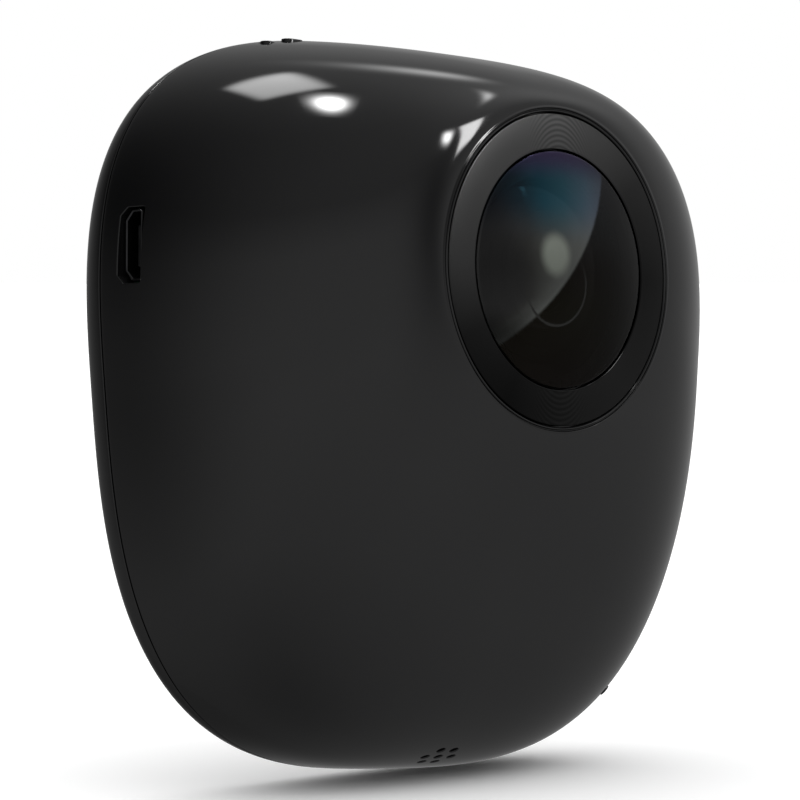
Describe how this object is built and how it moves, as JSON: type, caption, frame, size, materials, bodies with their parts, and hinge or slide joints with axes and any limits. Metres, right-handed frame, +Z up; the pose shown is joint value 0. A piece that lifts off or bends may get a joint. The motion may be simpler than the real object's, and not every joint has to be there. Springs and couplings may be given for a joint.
{
  "type": "dash cam",
  "caption": "Windscreen dash cam: glossy pebble housing, wide front lens, power port, card slot, speaker holes and push buttons, held by an adhesive pad.",
  "frame": {"origin": "centre of the adhesive pad's outer face, which sits on the windscreen", "axes": "+Z up, +Y out of the back through the pad; the lens looks along -Y; +X is to the right when the camera is seen from its lens side with the lens towards the viewer"},
  "size_m": [0.0796, 0.0367, 0.08],
  "materials": {
    "gloss_black": "glossy moulded black",
    "satin_black": "fine satin black",
    "black_rubber": "matt rubber",
    "foam_pad": "adhesive foam",
    "screw_steel": "zinc plated",
    "lens_glass": "coated optical glass",
    "black_alloy": "black anodised",
    "circuit_board": "solder mask",
    "standoff_brass": "plain turned brass",
    "chip_ceramic": "matt ceramic",
    "cable_film": "thin amber film",
    "chip_black": "moulded chip package",
    "soft_pad": "soft gap filler",
    "spreader_alloy": "plain sheet",
    "shield_steel": "tin plated sheet",
    "battery_wrap": "pouch foil",
    "contact_brass": "gold plated",
    "speaker_cloth": "fine black mesh",
    "card_plastic": "moulded card"
  },
  "bodies": {
    "case": {"front_housing": "gloss_black", "rear_cover": "gloss_black", "housing_gasket": "black_rubber", "mounting_pad": "foam_pad", "case_screws": "screw_steel", "lens_bezel": "satin_black", "front_lens": "lens_glass", "lens_barrel": "satin_black", "lens_seal": "black_rubber", "second_lens_ring": "satin_black", "second_lens": "lens_glass", "front_spacer_ring": "black_alloy", "third_lens": "lens_glass", "aperture_stop": "black_alloy", "rear_spacer_ring": "black_alloy", "rear_lens": "lens_glass", "sensor_board": "circuit_board", "board_standoffs": "standoff_brass", "sensor_board_screws": "screw_steel", "lens_holder": "satin_black", "image_sensor": "chip_ceramic", "infrared_filter": "lens_glass", "sensor_plug": "satin_black", "board_plug": "satin_black", "sensor_cable": "cable_film", "main_board": "circuit_board", "processor": "chip_black", "thermal_pad": "soft_pad", "heat_spreader": "spreader_alloy", "memory_chip": "chip_black", "wireless_module": "shield_steel", "antenna": "chip_ceramic", "power_coil": "chip_black", "microphone": "shield_steel", "battery": "battery_wrap", "port_shell": "shield_steel", "port_tongue": "satin_black", "port_contacts": "contact_brass", "card_socket": "shield_steel", "speaker_cloth": "speaker_cloth", "speaker_frame": "satin_black", "speaker_cone": "cable_film", "speaker_magnet": "shield_steel", "power_switch": "chip_black", "pairing_switch": "chip_black", "button_board": "circuit_board", "reset_switch": "chip_black", "reset_board": "circuit_board"},
    "power_key": {"power_button": "gloss_black"},
    "pairing_key": {"pairing_button": "gloss_black"},
    "reset_key": {"reset_button": "gloss_black"},
    "card": {"memory_card": "card_plastic"}
  },
  "joints": [
    {"name": "power_press", "type": "slide", "parent": "case", "child": "power_key", "axis": [0, 0, -1], "range_m": [0, 0.00025], "stiffness_N_per_m": 1200},
    {"name": "pairing_press", "type": "slide", "parent": "case", "child": "pairing_key", "axis": [0, 0, -1], "range_m": [0, 0.00025], "stiffness_N_per_m": 1200},
    {"name": "reset_press", "type": "slide", "parent": "case", "child": "reset_key", "axis": [-0.5285, 0.5411, 0.6542], "range_m": [0, 0.00025], "stiffness_N_per_m": 1200},
    {"name": "card_slide", "type": "slide", "parent": "case", "child": "card", "axis": [1, 0, 0], "range_m": [0, 0.0165]}
  ]
}
